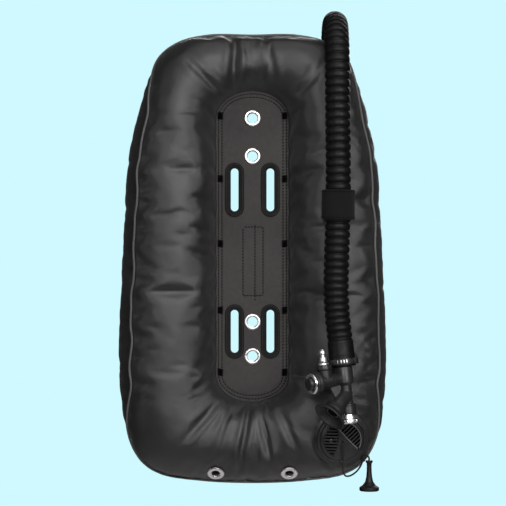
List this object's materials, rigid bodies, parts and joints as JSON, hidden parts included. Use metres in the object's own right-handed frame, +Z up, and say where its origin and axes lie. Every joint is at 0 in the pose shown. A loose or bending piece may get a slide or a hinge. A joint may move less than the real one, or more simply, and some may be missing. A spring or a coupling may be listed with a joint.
{
  "type": "back-inflation buoyancy wing",
  "caption": "Ring-shaped diving buoyancy wing with a flat bolt-on centre panel, corrugated inflator hose, power inflator and pull dump valve.",
  "frame": {"origin": "on the diver-side face of the centre panel, on its centre line midway between the upper and lower bolt rows", "axes": "+Z up towards the diver's head, -Y out of the diver-side face, +X towards the diver's left"},
  "size_m": [0.363, 0.2335, 0.6567],
  "materials": {
    "shell_fabric": "coated nylon, semi-gloss black",
    "gusset_fabric": "coated nylon, dull black",
    "panel_fabric": "heavy woven nylon, matt black",
    "piping": "woven binding, black",
    "dark_webbing": "woven webbing and binding, matt black",
    "bladder_film": "urethane film, satin",
    "black_plastic": "moulded, fine satin",
    "knob_plastic": "moulded, satin dark grey",
    "black_rubber": "moulded, matt",
    "hose_rubber": "moulded corrugations, matt",
    "pull_cord": "braided cord, black",
    "bright_metal": "bright plated",
    "spring_steel": "drawn stainless"
  },
  "bodies": {
    "wing": {"shell_front_panel": "shell_fabric", "shell_back_panel": "shell_fabric", "side_gusset": "gusset_fabric", "front_piping": "piping", "back_piping": "piping", "inner_bladder": "bladder_film", "centre_panel_front": "panel_fabric", "centre_interlining": "dark_webbing", "centre_panel_back": "panel_fabric", "band_slot_trim_upper_left": "dark_webbing", "band_slot_trim_upper_right": "dark_webbing", "band_slot_trim_lower_left": "dark_webbing", "band_slot_trim_lower_right": "dark_webbing", "bolt_grommet_1": "bright_metal", "bolt_grommet_washer_1": "bright_metal", "bolt_grommet_2": "bright_metal", "bolt_grommet_washer_2": "bright_metal", "bolt_grommet_3": "bright_metal", "bolt_grommet_washer_3": "bright_metal", "bolt_grommet_4": "bright_metal", "bolt_grommet_washer_4": "bright_metal", "drain_grommet_left": "bright_metal", "drain_grommet_washer_left": "bright_metal", "drain_grommet_right": "bright_metal", "drain_grommet_washer_right": "bright_metal", "elbow_port_flange": "black_plastic", "elbow_gasket": "black_rubber", "elbow_retaining_nut": "black_plastic", "elbow": "black_plastic", "corrugated_hose": "hose_rubber", "elbow_cable_tie": "black_plastic", "dump_valve_base": "black_plastic", "dump_valve_cap": "black_plastic", "dump_valve_spring": "spring_steel", "dump_pull_cord": "pull_cord", "cord_guide_loop": "pull_cord"},
    "inflator": {"inflator_body": "black_plastic", "hose_end_cuff": "hose_rubber", "cuff_cable_tie": "black_plastic", "quick_connect_nipple": "bright_metal", "inflate_button_ring": "bright_metal", "inflate_spring": "spring_steel", "deflate_spring": "spring_steel", "mouthpiece": "black_rubber"},
    "hose_retainer": {"hose_retainer": "dark_webbing"},
    "inflate_button": {"inflate_button": "black_plastic", "inflate_valve_stem": "spring_steel"},
    "deflate_button": {"deflate_button": "bright_metal", "deflate_valve_stem": "spring_steel"},
    "dump_poppet": {"dump_valve_poppet": "black_plastic", "dump_valve_seal": "black_rubber"},
    "pull_knob": {"pull_knob": "knob_plastic"}
  },
  "joints": [
    {"name": "hose_lift", "type": "hinge", "parent": "wing", "child": "inflator", "pos_m": [0.114, -0.0631, 0.162], "axis": [-1, 0, 0], "range_deg": [0, 75], "deforming": ["corrugated_hose"]},
    {"name": "hose_retainer_slide", "type": "slide", "parent": "inflator", "child": "hose_retainer", "axis": [0.0129, 0.0286, 0.9995], "range_m": [-0.02, 0.02]},
    {"name": "inflate_button_press", "type": "slide", "parent": "inflator", "child": "inflate_button", "axis": [0.8524, 0.5079, 0.1241], "range_m": [0, 0.0035], "stiffness_N_per_m": 300, "springref_m": -0.003, "deforming": ["inflate_spring"]},
    {"name": "deflate_button_press", "type": "slide", "parent": "inflator", "child": "deflate_button", "axis": [-0.1056, 0.0924, 0.9901], "range_m": [0, 0.005], "stiffness_N_per_m": 300, "springref_m": -0.003, "deforming": ["deflate_spring"]},
    {"name": "dump_poppet_lift", "type": "slide", "parent": "wing", "child": "dump_poppet", "axis": [0.1638, -0.9706, -0.1765], "range_m": [0, 0.004], "stiffness_N_per_m": 300, "springref_m": -0.004, "deforming": ["dump_valve_spring"]},
    {"name": "pull_knob_pull", "type": "slide", "parent": "wing", "child": "pull_knob", "axis": [0, 0, -1], "range_m": [0, 0.004], "deforming": ["dump_pull_cord"]}
  ],
  "couplings": [
    {"joint": "pull_knob_pull", "follows": "dump_poppet_lift", "ratio": 1}
  ]
}
